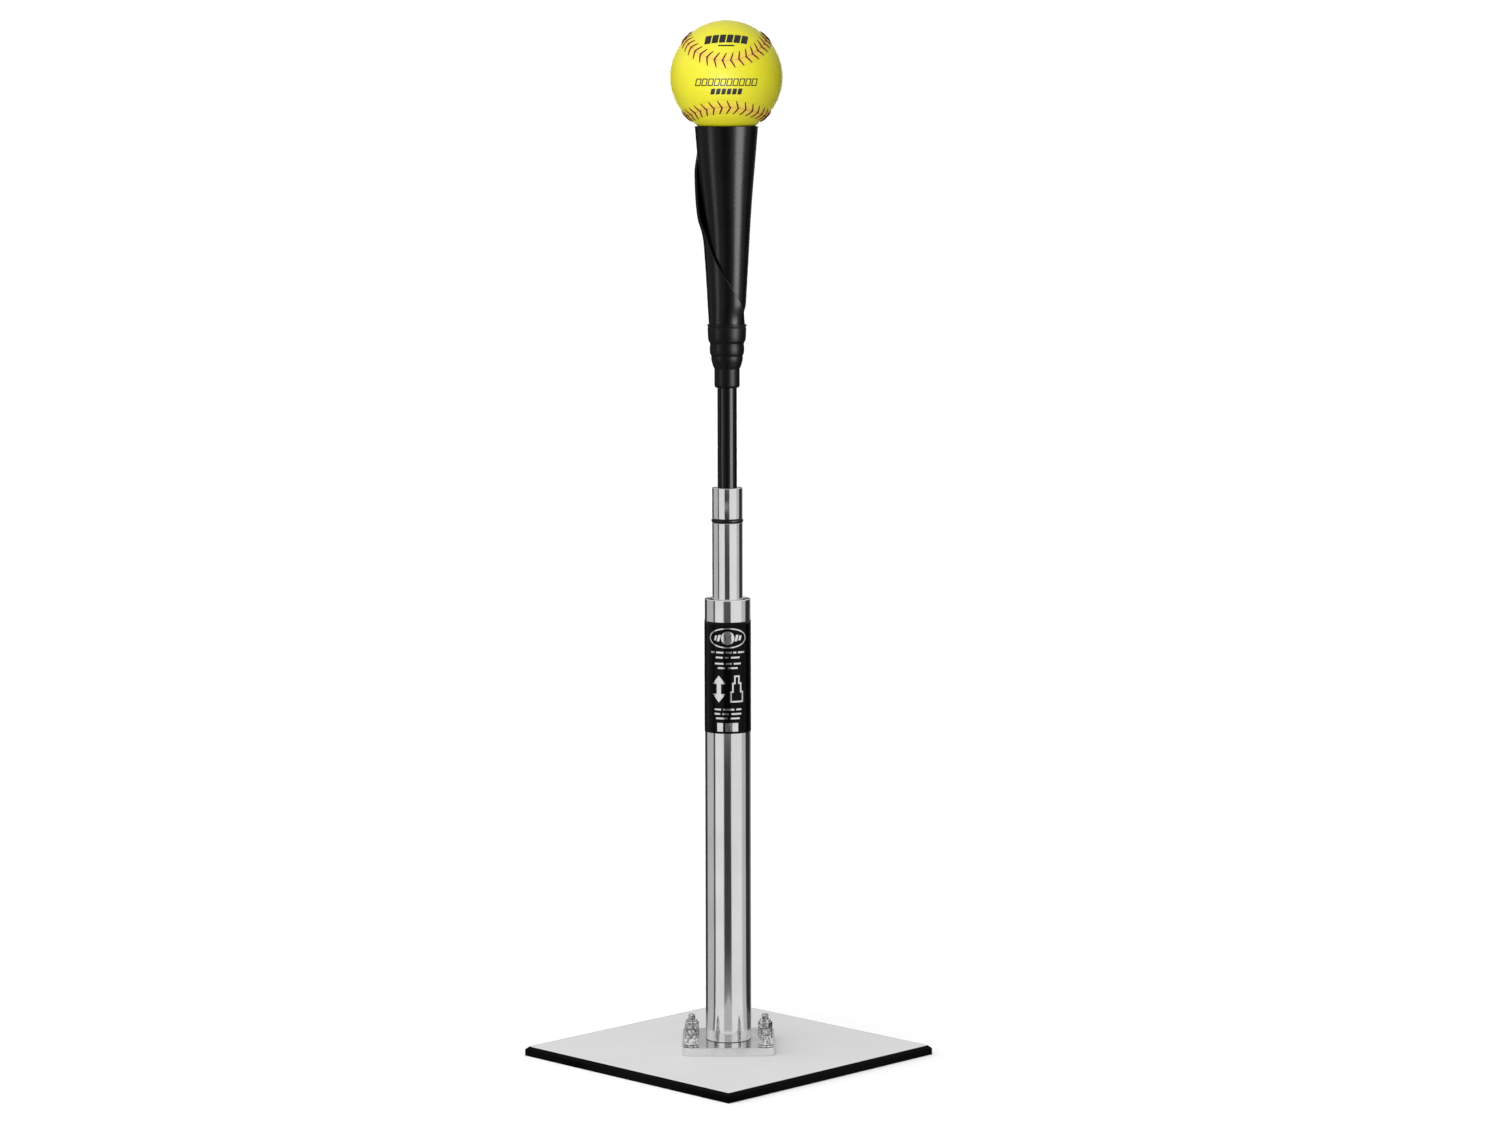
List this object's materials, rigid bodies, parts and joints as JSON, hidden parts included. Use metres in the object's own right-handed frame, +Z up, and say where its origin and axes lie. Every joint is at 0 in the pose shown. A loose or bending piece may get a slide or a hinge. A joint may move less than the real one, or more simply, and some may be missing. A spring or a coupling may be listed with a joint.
{
  "type": "batting tee",
  "caption": "Free-standing batting tee: square weighted base, bolted flange, telescoping tube stem and a flexible rolled rubber cone that carries a softball.",
  "frame": {"origin": "on the floor, at the centre of the square base and on the stem's axis", "axes": "+Z up along the stem; X and Y along the sides of the square base, so its corners point along the diagonals"},
  "size_m": [0.254, 0.254, 0.9059],
  "materials": {
    "mat_rubber": "matte",
    "silver_plate": "satin",
    "polished_steel": "gloss",
    "zinc_fastener": "gloss",
    "black_nylon": "satin",
    "black_shaft": "gloss",
    "cone_rubber": "satin",
    "label_vinyl": "gloss",
    "ball_leather": "satin"
  },
  "bodies": {
    "base": {"base_mat": "mat_rubber", "base_plate": "silver_plate", "stem_flange": "polished_steel", "outer_tube": "polished_steel", "outer_tube_bush": "black_nylon", "label": "label_vinyl", "flange_bolt_1": "zinc_fastener", "flange_bolt_2": "zinc_fastener", "flange_bolt_3": "zinc_fastener", "flange_bolt_4": "zinc_fastener", "flange_washer_1": "zinc_fastener", "flange_washer_2": "zinc_fastener", "flange_washer_3": "zinc_fastener", "flange_washer_4": "zinc_fastener", "flange_nut_1": "zinc_fastener", "flange_nut_2": "zinc_fastener", "flange_nut_3": "zinc_fastener", "flange_nut_4": "zinc_fastener"},
    "middle_rings": {"middle_friction_ring_1": "cone_rubber", "middle_friction_ring_2": "cone_rubber"},
    "middle_stage": {"middle_tube": "polished_steel", "middle_tube_bush": "black_nylon", "middle_piston": "black_nylon", "stop_ring": "cone_rubber"},
    "top_rings": {"shaft_friction_ring_1": "cone_rubber", "shaft_friction_ring_2": "cone_rubber"},
    "top_stage": {"top_shaft": "black_shaft", "shaft_piston": "black_nylon", "rubber_sleeve": "cone_rubber"},
    "cone": {"rolled_cone": "cone_rubber"},
    "ball": {"softball": "ball_leather"}
  },
  "joints": [
    {"name": "middle_slide", "type": "slide", "parent": "base", "child": "middle_rings", "axis": [0, 0, 1], "range_m": [-0.068, 0.137]},
    {"name": "middle_turn", "type": "hinge", "parent": "middle_rings", "child": "middle_stage", "pos_m": [0, 0, 0.16], "axis": [0, 0, 1], "continuous": true},
    {"name": "top_slide", "type": "slide", "parent": "middle_stage", "child": "top_rings", "axis": [0, 0, 1], "range_m": [-0.086, 0.14]},
    {"name": "top_turn", "type": "hinge", "parent": "top_rings", "child": "top_stage", "pos_m": [0, 0, 0.29], "axis": [0, 0, 1], "continuous": true},
    {"name": "cone_flex", "type": "hinge", "parent": "top_stage", "child": "cone", "pos_m": [0, 0, 0.622], "axis": [0.7071, 0.7071, 0], "range_deg": [-25, 25], "stiffness_Nm_per_rad": 12, "deforming": ["rubber_sleeve"]},
    {"name": "ball_lift", "type": "slide", "parent": "cone", "child": "ball", "axis": [0, 0, 1], "range_m": [0, 0.15]}
  ]
}
